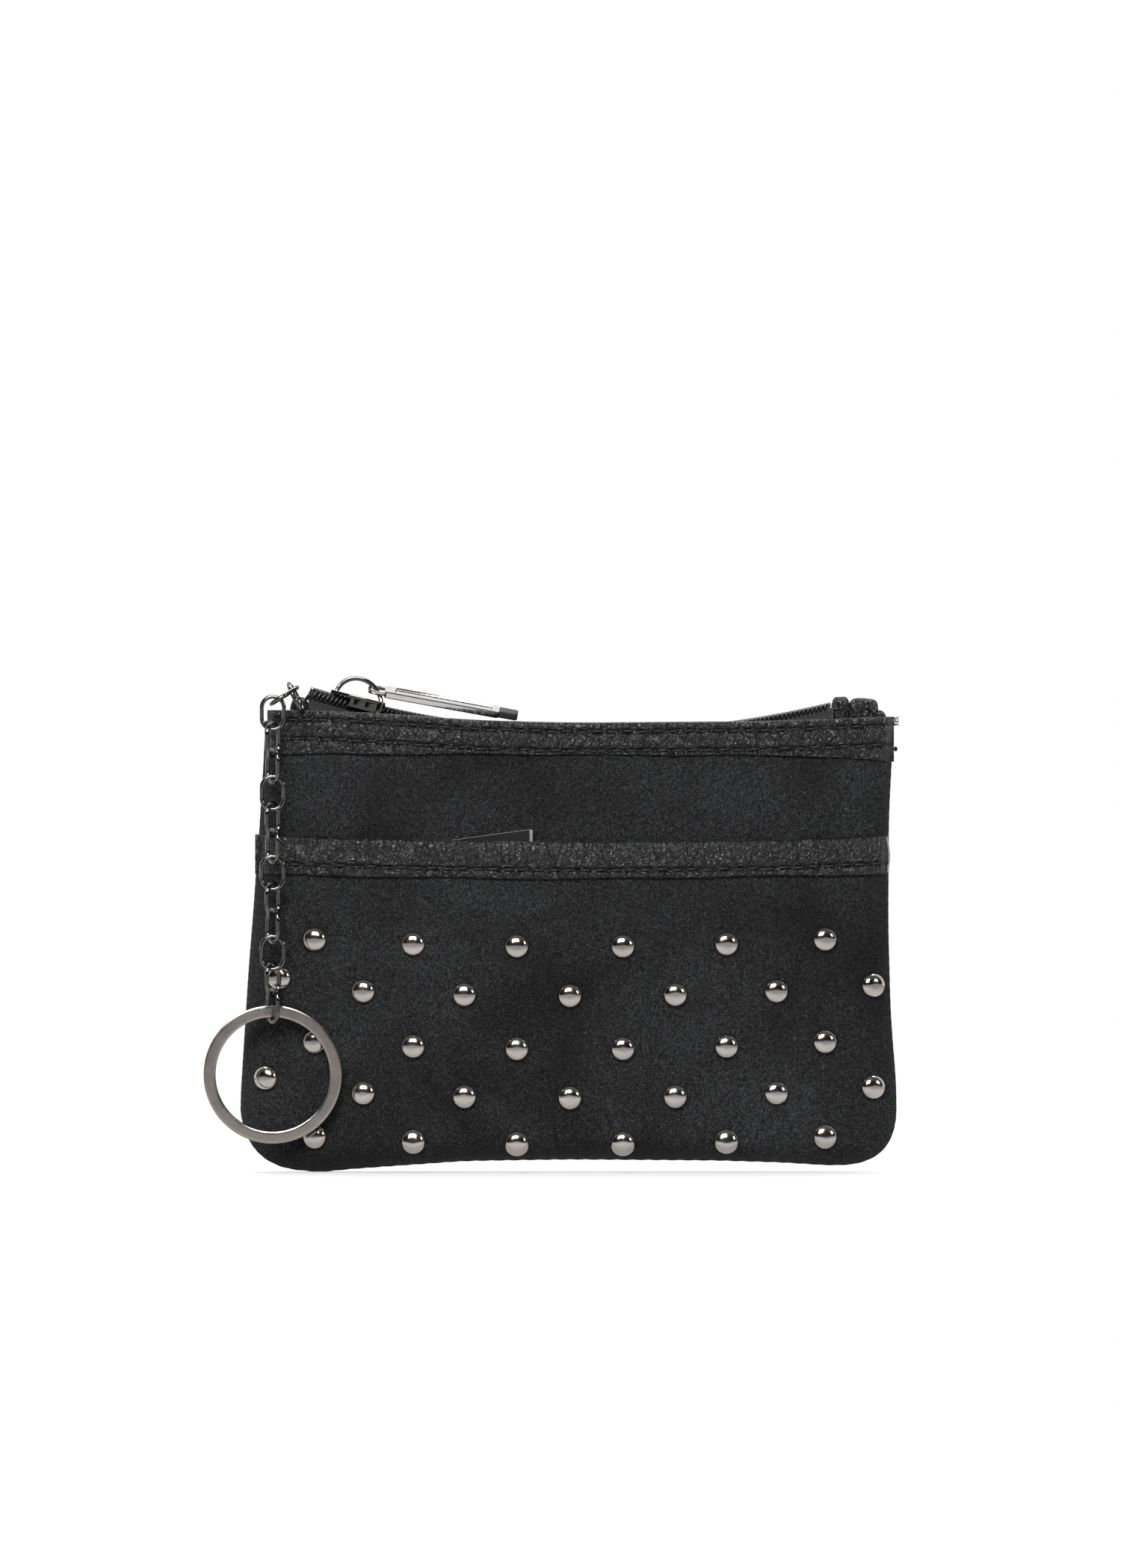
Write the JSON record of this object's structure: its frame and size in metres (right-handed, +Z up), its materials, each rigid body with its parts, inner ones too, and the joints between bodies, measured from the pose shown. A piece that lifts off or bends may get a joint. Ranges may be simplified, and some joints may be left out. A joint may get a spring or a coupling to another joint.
{
  "type": "chain wallet",
  "caption": "Small zipped purse in black nubuck with a studded front pocket, pebbled leather bindings and a hanging link chain that ends in a split key ring.",
  "frame": {"origin": "on the floor plane, under the middle of the purse's seam line; X 0 is midway between its side edges and Y 0 is the seam between its front and back halves", "axes": "+X to the right seen from the front, +Y to the back, +Z up; the studded pocket faces -Y"},
  "size_m": [0.1418, 0.0191, 0.101],
  "materials": {
    "suede": "black nubuck with a fine sparkling nap",
    "grained_leather": "black pebbled leather with a soft shine",
    "lining": "plain woven black lining",
    "label": "smooth glossy black tab",
    "tape": "ribbed black zip tape",
    "coil": "black nylon coil",
    "stud_metal": "dark polished nickel",
    "gunmetal": "polished gunmetal plating"
  },
  "bodies": {
    "purse": {"pocket_panel": "suede", "front_panel": "suede", "back_panel": "suede", "lining_front": "lining", "lining_back": "lining", "pocket_lining": "lining", "top_binding_back": "grained_leather", "pocket_binding": "grained_leather", "label_tab": "label", "zip_tape_back": "tape", "zip_coil_back": "coil", "zip_stops": "gunmetal", "zip_end_tab": "grained_leather", "chain_tab": "grained_leather", "studs_row_1": "stud_metal", "studs_row_2": "stud_metal", "studs_row_3": "stud_metal", "studs_row_4": "stud_metal", "studs_row_5": "stud_metal", "anchor_ring": "gunmetal"},
    "front_lip": {"top_binding_front": "grained_leather", "zip_tape_front": "tape", "zip_coil_front": "coil"},
    "slider": {"slider_body": "gunmetal", "slider_bridge": "gunmetal"},
    "puller": {"puller_bar": "gunmetal", "puller_tip": "grained_leather"},
    "link_01": {"link_01": "gunmetal"},
    "link_02": {"link_02": "gunmetal"},
    "link_03": {"link_03": "gunmetal"},
    "link_04": {"link_04": "gunmetal"},
    "link_05": {"link_05": "gunmetal"},
    "link_06": {"link_06": "gunmetal"},
    "link_07": {"link_07": "gunmetal"},
    "link_08": {"link_08": "gunmetal"},
    "link_09": {"link_09": "gunmetal"},
    "link_10": {"link_10": "gunmetal"},
    "link_11": {"link_11": "gunmetal"},
    "link_12": {"link_12": "gunmetal"},
    "link_13": {"link_13": "gunmetal"},
    "key_ring": {"key_ring": "gunmetal"}
  },
  "joints": [
    {"name": "zip_slide", "type": "hinge", "parent": "purse", "child": "slider", "pos_m": [0.006, 0, 0.2889], "axis": [0, -1, 0], "range_deg": [0, 24.7]},
    {"name": "mouth_open", "type": "slide", "parent": "purse", "child": "front_lip", "axis": [0, -1, 0], "range_m": [0, 0.009], "deforming": ["top_binding_front", "zip_tape_front", "zip_coil_front"]},
    {"name": "puller_swing", "type": "hinge", "parent": "slider", "child": "puller", "pos_m": [-0.03907, 0, 0.09833], "axis": [0, -1, 0], "range_deg": [0, 88]},
    {"name": "link_01_lift", "type": "hinge", "parent": "purse", "child": "link_01", "pos_m": [-0.05642, -0.0066, 0.09804], "axis": [-0.4861, 0.8155, -0.3142], "range_deg": [0, 60]},
    {"name": "link_02_swing", "type": "hinge", "parent": "link_01", "child": "link_02", "pos_m": [-0.0601, -0.0097, 0.09567], "axis": [0, 1, 0], "range_deg": [0, 54]},
    {"name": "link_03_swing", "type": "hinge", "parent": "link_02", "child": "link_03", "pos_m": [-0.0601, -0.0097, 0.09027], "axis": [-1, 0, 0], "range_deg": [0, 20]},
    {"name": "link_04_swing", "type": "hinge", "parent": "link_03", "child": "link_04", "pos_m": [-0.0601, -0.0097, 0.08487], "axis": [-0.5, -0.866, 0], "range_deg": [0, 20]},
    {"name": "link_05_swing", "type": "hinge", "parent": "link_04", "child": "link_05", "pos_m": [-0.0601, -0.0097, 0.07947], "axis": [-0.5, 0.866, 0], "range_deg": [0, 20]},
    {"name": "link_06_swing", "type": "hinge", "parent": "link_05", "child": "link_06", "pos_m": [-0.0601, -0.0097, 0.07407], "axis": [-1, 0, 0], "range_deg": [0, 20]},
    {"name": "link_07_swing", "type": "hinge", "parent": "link_06", "child": "link_07", "pos_m": [-0.0601, -0.0097, 0.06867], "axis": [-0.5, -0.866, 0], "range_deg": [0, 20]},
    {"name": "link_08_swing", "type": "hinge", "parent": "link_07", "child": "link_08", "pos_m": [-0.0601, -0.0097, 0.06327], "axis": [-0.5, 0.866, 0], "range_deg": [0, 20]},
    {"name": "link_09_swing", "type": "hinge", "parent": "link_08", "child": "link_09", "pos_m": [-0.0601, -0.0097, 0.05787], "axis": [-1, 0, 0], "range_deg": [0, 20]},
    {"name": "link_10_swing", "type": "hinge", "parent": "link_09", "child": "link_10", "pos_m": [-0.0601, -0.0097, 0.05247], "axis": [-0.5, -0.866, 0], "range_deg": [0, 20]},
    {"name": "link_11_swing", "type": "hinge", "parent": "link_10", "child": "link_11", "pos_m": [-0.0601, -0.0097, 0.04707], "axis": [-0.5, 0.866, 0], "range_deg": [0, 20]},
    {"name": "link_12_swing", "type": "hinge", "parent": "link_11", "child": "link_12", "pos_m": [-0.0601, -0.0097, 0.04167], "axis": [-1, 0, 0], "range_deg": [0, 20]},
    {"name": "link_13_swing", "type": "hinge", "parent": "link_12", "child": "link_13", "pos_m": [-0.0601, -0.0097, 0.03627], "axis": [-0.5, -0.866, 0], "range_deg": [0, 20]},
    {"name": "key_ring_swing", "type": "hinge", "parent": "link_13", "child": "key_ring", "pos_m": [-0.0601, -0.0097, 0.03087], "axis": [-0.5, 0.866, 0], "range_deg": [0, 20]}
  ],
  "couplings": [
    {"joint": "mouth_open", "follows": "zip_slide", "m_per_rad": 0.020413}
  ]
}
